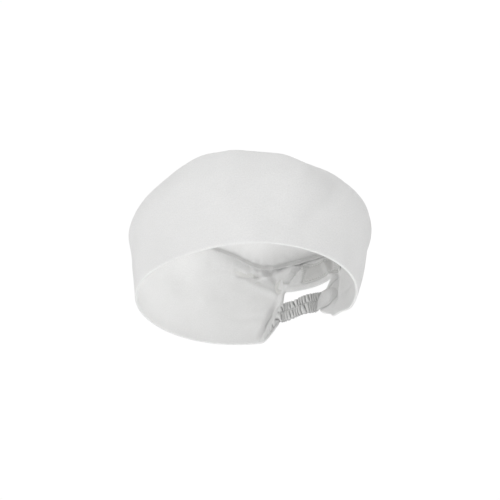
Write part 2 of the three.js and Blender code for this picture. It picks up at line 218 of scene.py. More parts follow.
class Wall:
    """The band's middle surface, and the soft creases that every piece sewn on it follows."""

    ROLL_START = 0.5
    LEVEL_SHARE = 0.42
    TIP_TURN, TIP_RISE, SIDE_DRAW = 3.0, 0.0080, 3.4
    SAG_AT, SAG_WIDTH, SAG_DEPTH = 209, 13, 0.0085
    ALLOWANCE_LEAN = 2.0
    # degrees round, width in degrees, share up the cloth, its spread, depth in metres
    SUNK = (
        (84, 30, 0.74, 0.22, -0.0052), (336, 13, 0.74, 0.18, -0.0050),
        (122, 17, 0.45, 0.25, -0.0042), (24, 10, 0.84, 0.12, 0.0022),
    )
    # folds over the cut-out's corners: start and end (out from the back's middle, up), width, depth
    CORNER_FOLDS = (
        ((0.0245, 0.064), (0.0070, 0.092), 0.0028, -0.0030),
        ((0.0250, 0.066), (0.0135, 0.098), 0.0026, 0.0028),
        ((0.0270, 0.064), (0.0230, 0.100), 0.0028, -0.0026),
        ((0.0290, 0.062), (0.0400, 0.097), 0.0032, 0.0024),
        ((0.0310, 0.058), (0.0600, 0.080), 0.0040, -0.0014),
        ((0.0660, 0.088), (0.0480, 0.092), 0.0016, 0.0030),
        ((0.0530, 0.083), (0.0380, 0.093), 0.0022, -0.0022),
    )
    # folds where the strap pulls on both tails, and on one tail each
    TAIL_FOLDS = (
        ((0.041, 0.042), (0.058, 0.020), 0.0045, -0.0010),
        ((0.040, 0.030), (0.068, 0.033), 0.0034, 0.0008),
    )
    ONE_TAIL_FOLDS = (
        ((-0.0290, 0.068), (-0.0400, 0.027), 0.0032, 0.0050),
        ((0.0320, 0.047), (0.0420, 0.006), 0.0028, 0.0040),
    )
    # slanted folds: degrees round, from and to heights, slant, depth
    SIDE_FOLDS = (
        (52, 0.034, 0.080, 0.020, 0.0016), (64, 0.022, 0.074, 0.026, -0.0018),
        (80, 0.036, 0.080, 0.018, 0.0015), (92, 0.018, 0.060, 0.024, -0.0013),
        (30, 0.052, 0.088, 0.030, -0.0011),
        (262, 0.024, 0.074, -0.024, 0.0012), (300, 0.040, 0.086, -0.030, -0.0011),
    )
    SIDE_FOLD_WIDTH = 0.0078
    SIDE_FOLD_DEPTH = 1.5
    RIGHT_REACH, LEFT_REACH = 1.45, 0.5

    def __init__(self):
        self.band = bpy.context.scene.cap_band
        mounted = frame["record"]["mounts"][0]["pos_m"][1]
        self.shift = mounted + self.band.rim_front
        cutout, strap = bpy.context.scene.cap_cutout, bpy.context.scene.cap_strap
        middle = (cutout.top + strap.bottom) / 2 / self.band.height_back
        self.back_radius = float(self.profile(BACK, middle)[0])

    def height(self, degrees):
        """Height of the band up the cloth."""
        b = self.band
        return around(b.height_front, b.height_side, b.height_back, degrees)

    def lean(self, degrees):
        """Outward lean of the band's lower half."""
        b = self.band
        return around(b.lean_front, b.lean_side, b.lean_back, degrees)

    def profile(self, degrees, share):
        """Radius, height and tilt of the middle surface, a share of the way up the cloth."""
        b = self.band
        height, lean = self.height(degrees), self.lean(degrees)
        roll = np.maximum(around(b.roll_front, b.roll_side, b.roll_back, degrees),
                          math.radians(LEAST_ROLL))
        straight = np.minimum(share, self.ROLL_START) * height
        rolled = np.maximum(share - self.ROLL_START, 0) * height
        roll_radius = (1 - self.ROLL_START) * height / roll
        tilt = lean - rolled / roll_radius
        radius = (around(b.rim_front, b.rim_side, b.rim_back, degrees) + straight * np.sin(lean)
                  + roll_radius * (np.cos(tilt) - np.cos(lean)))
        z = straight * np.cos(lean) + roll_radius * (np.sin(lean) - np.sin(tilt))
        return radius, z, tilt

    def across(self, degrees):
        """Distance round the cloth from the back's middle, at the height of the strap."""
        return (degrees - BACK) * math.pi / 180 * self.back_radius

    def polar(self, degrees, radius, z):
        """Points from degrees round the cap, distance from its axis and height."""
        turn, radius, z = np.broadcast_arrays(np.radians(degrees), radius, z)
        return np.stack([radius * np.sin(turn), self.shift - radius * np.cos(turn), z], -1)

    def crease(self, x, y, start, end, width, depth):
        """A soft ridge (or valley) along a line on the cloth that dies away at its ends."""
        (x0, y0), (x1, y1) = start, end
        run = math.hypot(x1 - x0, y1 - y0)
        along = ((x - x0) * (x1 - x0) + (y - y0) * (y1 - y0)) / run
        aside = ((x - x0) * (y1 - y0) - (y - y0) * (x1 - x0)) / run
        ends = smoothstep(-0.35 * run, 0.2 * run, along) * (1 - smoothstep(0.75 * run, 1.25 * run, along))
        return depth * ends * np.exp(-(aside / width) ** 2)

    def soft(self, degrees, y):
        """How far the cloth stands out from its plain shape, in metres."""
        share = y / self.height(degrees)
        turn = np.radians(degrees)
        x = self.across(degrees)
        free = smoothstep(0.02, 0.25, share) * (1 - smoothstep(0.86, 1.0, share))
        slow = 0.3 * np.sin(3 * turn + 1.1 + 2.6 * share) + 0.4 * np.sin(5 * turn - 0.6 - 3.4 * share)
        slow = slow + 0.42 * np.sin(9 * turn + 2.0 + 5.0 * share) + 0.24 * np.sin(14 * turn + 0.4 - 7 * share)
        out = slow * MM * (0.35 + free)
        # the worn cloth has sunk at the wearer's left and at the front corner
        for at, wide, level, tall, depth in self.SUNK:
            away = away_from(degrees, at) / wide
            out = out + depth * np.exp(-away ** 2 - ((share - level) / tall) ** 2) * free
        # slanted folds that run up from the cut-out's corners, deepest at the wearer's right
        for side, reach in ((1, self.RIGHT_REACH), (-1, self.LEFT_REACH)):
            for start, end, width, depth in self.CORNER_FOLDS:
                out = out + self.crease(x, y, mirrored(side, start), mirrored(side, end), width,
                                        depth * reach)
            for start, end, width, depth in self.TAIL_FOLDS:
                out = out + self.crease(x, y, mirrored(side, start), mirrored(side, end), width, depth)
        for fold in self.ONE_TAIL_FOLDS:
            out = out + self.crease(x, y, *fold)
        for at, low, high, slant, depth in self.SIDE_FOLDS:
            along = self.across(away_from(degrees, at) + BACK)
            out = out + self.crease(along, y, (0, low), (slant, high), self.SIDE_FOLD_WIDTH,
                                    depth * self.SIDE_FOLD_DEPTH)
        # small puckers where the crown is sewn on, deepest at the back corners
        seam = smoothstep(0.84, 0.97, share) * (1 - smoothstep(0.985, 1.0, share))
        ripple = np.sin(turn * 62 + 2.0 * np.sin(5 * turn)) + 0.6 * np.sin(turn * 97 + 1.3)
        return out + ripple * seam * (0.12 + 0.55 * back_corners(degrees)) * MM

    def pulled(self, degrees, y):
        """Where the strap's pull settles the wearer's-left tail: its tip turns up, its side leans in."""
        x = self.across(degrees)
        tip = smoothstep(0.018, 0.036, -x) * (1 - smoothstep(0.044, 0.084, -x))
        tip = tip * (1 - smoothstep(0.0, 0.034, y))
        drawn = smoothstep(0.008, 0.024, -x) * (1 - smoothstep(0.026, 0.042, -x))
        drawn = drawn * (1 - smoothstep(0.034, 0.064, y)) * smoothstep(0.006, 0.030, y)
        return degrees - self.TIP_TURN * tip + self.SIDE_DRAW * drawn, y + self.TIP_RISE * tip

    def sag(self, degrees, share):
        """How far the soft back corner of the crown seam has sunk, in metres."""
        away = away_from(degrees, self.SAG_AT) / self.SAG_WIDTH
        return self.SAG_DEPTH * np.exp(-away ** 2) * smoothstep(0.62, 1.0, share)

    def at(self, degrees, y, lift):
        """Points on the cloth: round the cap, up the cloth, lifted outwards."""
        degrees, y = self.pulled(degrees, y)
        share = y / self.height(degrees)
        radius, z, tilt = self.profile(degrees, share)
        levelled = tilt * np.clip(share / self.LEVEL_SHARE, 0, 1)
        out = lift + self.soft(degrees, y) * smoothstep(0, 0.03, share)
        return self.polar(degrees, radius + out * np.cos(levelled),
                          z - out * np.sin(levelled) - self.sag(degrees, share))

    def inside(self, x, y, depth):
        """Points on the inner face from the back's middle: x towards +X, depth into the cap."""
        return self.at(BACK - np.degrees(x / self.back_radius), y, -(self.band.ply_offset + depth))

    def allowance(self, degrees, depth, inwards):
        """Points on the crown's turned-down edge, a depth below its fold and lifted inwards."""
        crown = bpy.context.scene.cap_crown
        radius, z, tilt = self.profile(degrees, np.ones_like(degrees))
        inset = self.band.ply_offset * np.cos(tilt) + crown.gap + inwards
        lean = self.lean(degrees) + math.radians(self.ALLOWANCE_LEAN)
        ripple = np.sin(np.radians(degrees) * 71 + 1.7 * np.sin(np.radians(degrees) * 4))
        uneven = 0.30 + (0.30 + 0.9 * back_corners(degrees)) * (1 + ripple) / 2
        flare = np.clip(depth / crown.allowance, 0, 1.2) ** 1.5 * uneven * MM
        return self.polar(degrees, radius - inset - flare - depth * np.sin(lean),
                          z - self.band.ply_offset * np.sin(tilt) - depth * np.cos(lean)
                          - self.sag(degrees, 1.0))


def lower_edge(wall, columns):
    """The band's lower edge as even steps: place (x, y), the way into the cloth and the top's place.

    x runs round the cap from the back's middle. The line goes down one side of the cut-out,
    along a tail and the rim to the forehead, and is mirrored for the other half.
    """
    cutout = bpy.context.scene.cap_cutout
    side = cutout.half_angle * wall.back_radius
    tail = cutout.tail_half_angle * wall.back_radius
    half_round = math.pi * wall.back_radius
    bend = cutout.corner
    turn = np.linspace(0, math.pi / 2, 12)
    drop = np.linspace(0, 1, 24)[1:]
    line = [(0.0, cutout.top)]
    line += [(side - bend + bend * math.sin(a), cutout.top - bend + bend * math.cos(a)) for a in turn]
    line += [(side, cutout.tail_top + 0.0015)]
    line += [(side + (tail - side) * share, cutout.tail_top * (1 - share) ** 1.5) for share in drop]
    line += [(half_round, 0.0)]
    line = np.array(line)
    run = np.concatenate([[0], np.cumsum(np.linalg.norm(np.diff(line, axis=0), axis=1))])
    steps = np.linspace(0, run[-1], columns // 2 + 1)
    x, y = np.interp(steps, run, line[:, 0]), np.interp(steps, run, line[:, 1])
    knots = [0.0, side, side + cutout.top - cutout.tail_top, side + cutout.top + 0.006,
             run[-1] - 0.15, run[-1]]
    tops = [0.0, side + 0.001, side + 0.018, side + 0.032, half_round - 0.15, half_round]
    top = np.interp(steps, knots, tops)
    for _ in range(6):
        top[1:-1] = (top[:-2] + top[1:-1] * 2 + top[2:]) / 4
    x, y, top = (np.concatenate([sign * values[::-1][:cut], values]) for values, sign, cut in
                 ((x, -1, -1), (y, 1, -1), (top, -1, -1)))
    along = np.stack([np.gradient(x), np.gradient(y)], -1)
    along[0] = along[-1] = (1, 0)
    along /= np.linalg.norm(along, axis=1, keepdims=True)
    inwards = np.stack([-along[:, 1], along[:, 0]], -1)
    return np.stack([x, y], -1), inwards, top


# ---------------------------------------------------------------- mesh helpers


def grid(columns, rows):
    """A flat bmesh grid with its vertices' column and row numbers, as arrays."""
    bm = bmesh.new()
    bmesh.ops.create_grid(bm, x_segments=columns, y_segments=rows, size=0.5)
    bm.verts.ensure_lookup_table()
    flat = np.array([v.co[:2] for v in bm.verts])
    column = np.rint((flat[:, 0] + 0.5) * columns).astype(int)
    row = np.rint((flat[:, 1] + 0.5) * rows).astype(int)
    return bm, column, row


def bend(bm, points, cloth_places=None):
    """Moves a bmesh's vertices to points and keeps their places on the flat cloth as a UV map."""
    mesh = bpy.data.meshes.new("bending")
    bm.to_mesh(mesh)
    mesh.vertices.foreach_set("co", np.asarray(points, np.float32).ravel())
    if cloth_places is not None:
        corners = np.empty(len(mesh.loops), np.int32)
        mesh.loops.foreach_get("vertex_index", corners)
        layer = mesh.uv_layers.new(name="cloth")
        layer.uv.foreach_set("vector", np.asarray(cloth_places, np.float32)[corners].ravel())
    bm.clear()
    bm.from_mesh(mesh)
    bpy.data.meshes.remove(mesh)


def make_piece(name, bm, material, join=0.0):
    """A smooth-shaded object from a bmesh, its doubles merged, with its material and slot."""
    if join:
        bmesh.ops.remove_doubles(bm, verts=bm.verts, dist=join)
    for face in bm.faces:
        face.smooth = True
    mesh = bpy.data.meshes.new(name)
    bm.to_mesh(mesh)
    bm.free()
    piece = bpy.data.objects.new(name, mesh)
    bpy.context.scene.collection.objects.link(piece)
    mesh.materials.append(material)
    return piece


def give_thickness(piece, thickness, offset=0.0):
    """Makes a sheet a closed cloth of even thickness and applies it."""
    solid = piece.modifiers.new("thickness", "SOLIDIFY")
    solid.thickness = thickness
    solid.offset = offset
    solid.use_even_offset = False
    solid.use_rim = True
    bpy.context.view_layer.update()
    depsgraph = bpy.context.evaluated_depsgraph_get()
    mesh = bpy.data.meshes.new_from_object(piece.evaluated_get(depsgraph))
    piece.modifiers.clear()
    old, piece.data = piece.data, mesh
    bpy.data.meshes.remove(old)
    mesh.name = piece.name
    bm = bmesh.new()
    bm.from_mesh(mesh)
    if bm.calc_volume(signed=True) < 0:
        bmesh.ops.reverse_faces(bm, faces=bm.faces)
    bm.to_mesh(mesh)
    bm.free()
    mesh.set_sharp_from_angle(angle=math.radians(60))
    return piece


def copies_of_a_stitch(count):
    """A bmesh of many round stitches on top of each other, and how many vertices each has."""
    bm = bmesh.new()
    bmesh.ops.create_uvsphere(bm, u_segments=6, v_segments=5, radius=1,
                              matrix=Matrix.Rotation(math.pi / 2, 4, "Y"))
    # a sphere operator leaves holes in the bmesh's order, and a mesh puts it in order
    ordered = bpy.data.meshes.new("ordering")
    bm.to_mesh(ordered)
    bm.free()
    bm = bmesh.new()
    bm.from_mesh(ordered)
    bpy.data.meshes.remove(ordered)
    each = [len(bm.verts), len(bm.edges), len(bm.faces)]
    made = 1
    while made < count:
        more = min(made, count - made)
        for parts in (bm.verts, bm.edges, bm.faces):
            parts.ensure_lookup_table()
        chosen = [part for parts, size in zip((bm.verts, bm.edges, bm.faces), each)
                  for part in parts[:size * more]]
        bmesh.ops.duplicate(bm, geom=chosen)
        made += more
    if len(bm.verts) != count * each[0]:
        raise RuntimeError("the stitches didn't copy evenly")
    return bm, each[0]


def stitches(name, centres, directions, outwards, material, long, wide):
    """A row of small raised thread stitches, each lying along its direction on the cloth."""
    bm, each = copies_of_a_stitch(len(centres))
    ball = np.array([vert.co for vert in bm.verts])
    ahead = np.asarray(directions, float)
    ahead /= np.linalg.norm(ahead, axis=1, keepdims=True)
    up = np.asarray(outwards, float)
    up = up - ahead * (up * ahead).sum(1, keepdims=True)
    up /= np.linalg.norm(up, axis=1, keepdims=True)
    aside = np.cross(up, ahead)
    of = np.arange(len(ball)) // each
    reach = ball * [long / 2, wide / 2, wide / 2]
    points = (np.asarray(centres)[of] + ahead[of] * reach[:, :1] + aside[of] * reach[:, 1:2]
              + up[of] * reach[:, 2:])
    bend(bm, points)
    return make_piece(name, bm, material)


def stitch_line(path, spacing):
    """Even steps along a densely sampled line: the places' fractional numbers in it."""
    run = np.concatenate([[0], np.cumsum(np.linalg.norm(np.diff(path, axis=0), axis=1))])
    count = max(int(run[-1] / spacing), 2)
    return np.interp((np.arange(count) + 0.5) * run[-1] / count, run, np.arange(len(path)))


def sample(path, places):
    """Points of a densely sampled line at fractional places."""
    numbers = np.arange(len(path))
    return np.stack([np.interp(places, numbers, path[:, axis]) for axis in range(3)], -1)


def run_stitches(name, path, raised, material, spacing, long, wide):
    """Running stitches along a line on the cloth; raised is the same line, lifted off the cloth."""
    places = stitch_line(path, spacing)
    centres = sample(path, places)
    ahead = sample(path, places + 0.4) - sample(path, places - 0.4)
    outward = sample(raised, places) - centres
    return stitches(name, centres, ahead, outward, material, long, wide)


# ---------------------------------------------------------------- materials


class Wire:
    """A changing number in a material; arithmetic on it adds Math nodes."""

    def __init__(self, weave, socket):
        self.weave = weave
        self.socket = socket

    def maths(self, operation, *others):
        node = self.weave.node("ShaderNodeMath", {"operation": operation},
                               {index: value for index, value in enumerate((self, *others))})
        return Wire(self.weave, node.outputs[0])

    def __add__(self, other):
        return self.maths("ADD", other)

    __radd__ = __add__

    def __mul__(self, other):
        return self.maths("MULTIPLY", other)

    __rmul__ = __mul__

    def __sub__(self, other):
        return self.maths("SUBTRACT", other)

    def sine(self):
        return self.maths("SINE")

    def size(self):
        return self.maths("ABSOLUTE")

    def most(self, other):
        return self.maths("MAXIMUM", other)

    def kept(self):
        return self.maths("MINIMUM", 1.0).maths("MAXIMUM", 0.0)


class Finish:
    """One material's nodes, made by a single method."""

    def __init__(self, name):
        self.material = bpy.data.materials.new(name)
        self.material.use_nodes = True
        self.nodes = self.material.node_tree.nodes
        self.links = self.material.node_tree.links
        self.shader = self.nodes["Principled BSDF"]

    def node(self, kind, settings=None, values=None):
        """A node of a type; its settings first, then its sockets' values or links."""
        node = self.nodes.new(kind)
        for setting, value in (settings or {}).items():
            setattr(node, setting, value)
        for socket, value in (values or {}).items():
            self.feed(node.inputs[socket], value)
        return node

    def feed(self, socket, value):
        """Links or sets one socket."""
        if isinstance(value, Wire):
            value = value.socket
        if isinstance(value, bpy.types.NodeSocket):
            self.links.new(value, socket)
        else:
            socket.default_value = value

    def wire(self, node, output=0):
        return Wire(self, node.outputs[output])

    def cloth_place(self, scale):
        """Place on the flat cloth, scaled: across and up."""
        coords = self.node("ShaderNodeUVMap", {"uv_map": "cloth"})
        scaled = self.node("ShaderNodeVectorMath", {"operation": "SCALE"},
                           {0: coords.outputs[0], "Scale": scale})
        parts = self.node("ShaderNodeSeparateXYZ", None, {0: scaled.outputs[0]})
        return scaled, self.wire(parts, 0), self.wire(parts, 1)

    def body_place(self, scale):
        """Place in the cap's own frame, scaled."""
        coords = self.node("ShaderNodeTexCoord")
        return self.node("ShaderNodeVectorMath", {"operation": "SCALE"},
                         {0: coords.outputs["Object"], "Scale": scale})

    def noise(self, place, scale, detail=3.0, rough=0.55):
        node = self.node("ShaderNodeTexNoise", None,
                         {"Vector": place.outputs[0], "Scale": scale, "Detail": detail, "Roughness": rough})
        return self.wire(node, "Fac")

    def shades(self, first, second, factor):
        """Two colours mixed by a changing number."""
        mix = self.node("ShaderNodeMix", {"data_type": "RGBA"})
        self.feed(mix.inputs[0], factor)
        self.feed(mix.inputs[6], (*first, 1))
        self.feed(mix.inputs[7], (*second, 1) if isinstance(second, tuple) else second)
        return mix.outputs[2]

    def finish(self, colour_socket, roughness, height, distance, strength=1.0, **fixed):
        """Joins the colour, roughness and relief to the shader, with its fixed values."""
        bump = self.node("ShaderNodeBump", None,
                         {"Height": height, "Distance": distance, "Strength": strength})
        self.feed(self.shader.inputs["Base Color"], colour_socket)
        self.feed(self.shader.inputs["Roughness"], roughness)
        self.feed(self.shader.inputs["Normal"], bump.outputs[0])
        for socket, value in fixed.items():
            self.shader.inputs[socket.replace("_", " ")].default_value = value
        return self.material


def darker(shade, share):
    """A colour scaled by a share."""
    return tuple(part * share for part in shade)


def found_or_made(name, make):
    """A material by name, made once."""
    return bpy.data.materials.get(name) or make(name)


def plain_weave_cloth(name="cap_plain_weave", gathered=False):
    """Fine white plain weave: over-and-under threads, slubs, soft mottling; in gathered cloth, painted shade
    deep in the gathers.
    """
    def make(label):
        shade = tuple(bpy.context.scene.cap_looks.cloth)
        finish = Finish(label)
        place, across, up = finish.cloth_place(1000.0)
        drift = finish.noise(place, 0.35, 2.0) * 0.8
        warp = ((across + drift) * (2 * math.pi / 0.62)).sine()
        weft = ((up + drift) * (2 * math.pi / 0.62)).sine()
        over = warp * weft
        thread = over * 0.5 + 0.5
        slub = finish.noise(place, 1.7, 4.0, 0.6)
        crumple = finish.noise(place, 0.10, 2.0, 0.45)
        mottle = finish.noise(finish.body_place(1.0), 26.0, 3.0, 0.6)
        fibre = finish.noise(place, 5.0, 3.0, 0.7)
        grain = finish.noise(place, 0.8, 2.0, 0.7)
        tone = (thread * 0.25 + fibre * 0.2 + mottle * 0.45 + grain * 1.3 - 0.6).kept()
        shade_out = finish.shades(darker(shade, 0.93), darker(shade, 1.09), tone)
        if gathered:
            # painted shade: the 'fold' attribute mixes in a colour at 0.34 of the cloth's, darkening the
            # gathers' creases, the strap's edges and its tabs where shade falls
            fold = finish.node("ShaderNodeAttribute", {"attribute_name": "fold"})
            shade_out = finish.shades(darker(shade, 0.34), shade_out, finish.wire(fold, "Fac"))
        height = thread * 0.5 + slub * 0.35 + fibre * 0.25 + grain * 0.6 + crumple * 2.0
        return finish.finish(shade_out, 0.80 + fibre * 0.16, height, 0.00035, 1.0,
                             Sheen_Weight=0.12, Sheen_Roughness=0.6, Specular_IOR_Level=0.25)
    return found_or_made(name, make)


def twisted_thread(name="cap_thread"):
    """Sewing thread with the slanting lines of its twist."""
    def make(label):
        shade = tuple(bpy.context.scene.cap_looks.thread)
        finish = Finish(label)
        place = finish.body_place(1000.0)
        parts = finish.node("ShaderNodeSeparateXYZ", None, {0: place.outputs[0]})
        x, y, z = (finish.wire(parts, index) for index in range(3))
        twist = ((x * 0.8 + y * 0.6 + z * 1.3) * 13.0).sine() * 0.5 + 0.5
        fuzz = finish.noise(place, 3.0, 3.0)
        shade_out = finish.shades(darker(shade, 0.86), darker(shade, 1.05), (twist * 0.6 + fuzz * 0.4).kept())
        return finish.finish(shade_out, 0.50 + fuzz * 0.2, twist + fuzz * 0.4, 0.00008, 0.7,
                             Sheen_Weight=0.1, Specular_IOR_Level=0.4)
    return found_or_made(name, make)


def ribbed_tape(name="cap_tag_tape"):
    """Grey tape with fine ribs and a crosswise thread."""
    def make(label):
        shade = tuple(bpy.context.scene.cap_looks.tape)
        finish = Finish(label)
        place, across, up = finish.cloth_place(1000.0)
        drift = finish.noise(place, 0.5, 2.0) * 0.3
        rib = ((up + drift) * (2 * math.pi / 3.2)).sine().size()
        pick = (across * (2 * math.pi / 0.7)).sine() * 0.5 + 0.5
        fibre = finish.noise(place, 4.0, 3.0, 0.7)
        wear = finish.noise(place, 0.25, 3.0)
        tone = (rib * 0.5 + pick * 0.15 + fibre * 0.2 + wear * 0.3).kept()
        shade_out = finish.shades(darker(shade, 0.78), darker(shade, 1.10), tone)
        return finish.finish(shade_out, 0.62 + fibre * 0.2, rib + pick * 0.3 + fibre * 0.25, 0.00025, 0.9,
                             Sheen_Weight=0.1, Specular_IOR_Level=0.3)
    return found_or_made(name, make)


def felted_stiffener(name="cap_stiffener"):
    """Nonwoven stiffener with random fibres and pressed dots."""
    def make(label):
        shade = tuple(bpy.context.scene.cap_looks.stiffener)
        finish = Finish(label)
        place, across, up = finish.cloth_place(1000.0)
        dots = ((across * 2.6).sine() * (up * 2.6).sine()).most(0.4)
        fibre = finish.noise(place, 2.2, 6.0, 0.8)
        shade_out = finish.shades(darker(shade, 0.88), darker(shade, 1.05), (fibre * 0.8 + dots * 0.3).kept())
        return finish.finish(shade_out, 0.85 + fibre * 0.1, fibre - dots * 0.6, 0.0002, 0.8)
    return found_or_made(name, make)


def knitted_elastic(name="cap_elastic"):
    """Knitted elastic with lengthwise cords and crosswise ribs."""
    def make(label):
        shade = tuple(bpy.context.scene.cap_looks.elastic)
        finish = Finish(label)
        place, across, up = finish.cloth_place(1000.0)
        cord = (up * (2 * math.pi / 1.6)).sine().size()
        rib = (across * (2 * math.pi / 0.8)).sine() * 0.5 + 0.5
        fibre = finish.noise(place, 3.0, 3.0)
        tone = (cord * 0.5 + rib * 0.3 + fibre * 0.2).kept()
        shade_out = finish.shades(darker(shade, 0.82), darker(shade, 1.04), tone)
        return finish.finish(shade_out, 0.6 + fibre * 0.2, cord + rib * 0.5, 0.0003, 0.8)
    return found_or_made(name, make)


# ---------------------------------------------------------------- pieces


class CAP_OT_band(bpy.types.Operator):
    """Make the folded band cloth and the stiffener inside it"""

    bl_idname = "cloth_cap.band"
    bl_label = "Folded Band"

    COLUMNS = 320
    PLY_ROWS = 40
    FOLD_ROWS = 6
    TURN_ROWS = 3
    TOP_ROUNDING = 0.0006
    STIFFENER_COLUMNS = 200
    STIFFENER_ROWS = 16

    def execute(self, context):
        wall = Wall()
        self.folded_cloth(wall)
        self.stiffener(wall)
        return {"FINISHED"}

    def ply_paths(self, wall):
        """Places up both plies: how far up the column (0 to 1), how far off the edge, the lift."""
        band = wall.band
        reach = band.ply_offset - band.cloth / 2
        up = np.linspace(0, 1, self.PLY_ROWS + 1) ** 1.12
        fold = np.linspace(0, math.pi, self.FOLD_ROWS + 2)[1:-1]
        turn = np.linspace(0, math.pi / 2, self.TURN_ROWS + 1)[1:]
        rounding = self.TOP_ROUNDING
        settled = -rounding * smoothstep(0.9, 1, up)
        turned = [(reach - rounding * (1 - math.cos(a)), -rounding * (1 - math.sin(a))) for a in turn]
        rows = [(1.0, 0.0, lift, drop) for lift, drop in turned[::-1]]
        rows += [(share, 0.0, reach, drop) for share, drop in zip(up[::-1], settled[::-1])]
        rows += [(0.0, reach * (1 - math.sin(a)) - reach, reach * math.cos(a), 0.0) for a in fold]
        rows += [(share, 0.0, -reach, drop) for share, drop in zip(up, settled)]
        rows += [(1.0, 0.0, -lift, drop) for lift, drop in turned]
        return np.array(rows, float), reach + band.cloth / 2

    def columns(self, wall, share, off, edge, inwards, top, start):
        """Places on the flat cloth of every column at one row."""
        begin = edge + inwards * (start + off)
        degrees = BACK + np.degrees(top / wall.back_radius)
        end = np.stack([top, wall.height(degrees)], -1)
        reach = np.minimum(0.02, 0.4 * np.linalg.norm(end - begin, axis=1))[:, None]
        control = begin + inwards * reach
        return (1 - share) ** 2 * begin + 2 * share * (1 - share) * control + share ** 2 * end

    def folded_cloth(self, wall):
        """The cloth, folded double at its lower edge."""
        rows, start = self.ply_paths(wall)
        edge, inwards, top = lower_edge(wall, self.COLUMNS)
        bm, column, row = grid(len(edge) - 1, len(rows) - 1)
        places = np.empty((len(column), 2))
        for number, (share, off, _, drop) in enumerate(rows):
            flat = self.columns(wall, share, off, edge, inwards, top, start)
            chosen = row == number
            places[chosen] = flat[column[chosen]] + [0, drop]
        # the outer ply's places on the flat cloth run on past the fold
        outer = row < len(rows) / 2
        along_cloth = np.where(outer, -places[:, 1], places[:, 1])
        degrees = BACK + np.degrees(places[:, 0] / wall.back_radius)
        points = wall.at(degrees, places[:, 1], rows[row, 2])
        bend(bm, points, np.stack([places[:, 0], along_cloth], -1))
        piece = make_piece("band_cloth", bm, plain_weave_cloth(), join=2e-5)
        give_thickness(piece, wall.band.cloth * 0.95)
        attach(piece, "cap")
        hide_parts("band_fabric")

    def stiffener(self, wall):
        """The stiffener between the two plies."""
        edge, inwards, top = lower_edge(wall, self.STIFFENER_COLUMNS)
        bm, column, row = grid(len(edge) - 1, self.STIFFENER_ROWS)
        places = np.empty((len(column), 2))
        for number in range(self.STIFFENER_ROWS + 1):
            share = number / self.STIFFENER_ROWS * 0.985
            flat = self.columns(wall, share, 0.0, edge, inwards, top, 0.004)
            chosen = row == number
            places[chosen] = flat[column[chosen]]
        degrees = BACK + np.degrees(places[:, 0] / wall.back_radius)
        bend(bm, wall.at(degrees, places[:, 1], np.zeros(len(places))), places)
        piece = make_piece("band_stiffener", bm, felted_stiffener(), join=2e-5)
        give_thickness(piece, wall.band.stiffener)
        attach(piece, "cap")
        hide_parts("band_interlining")


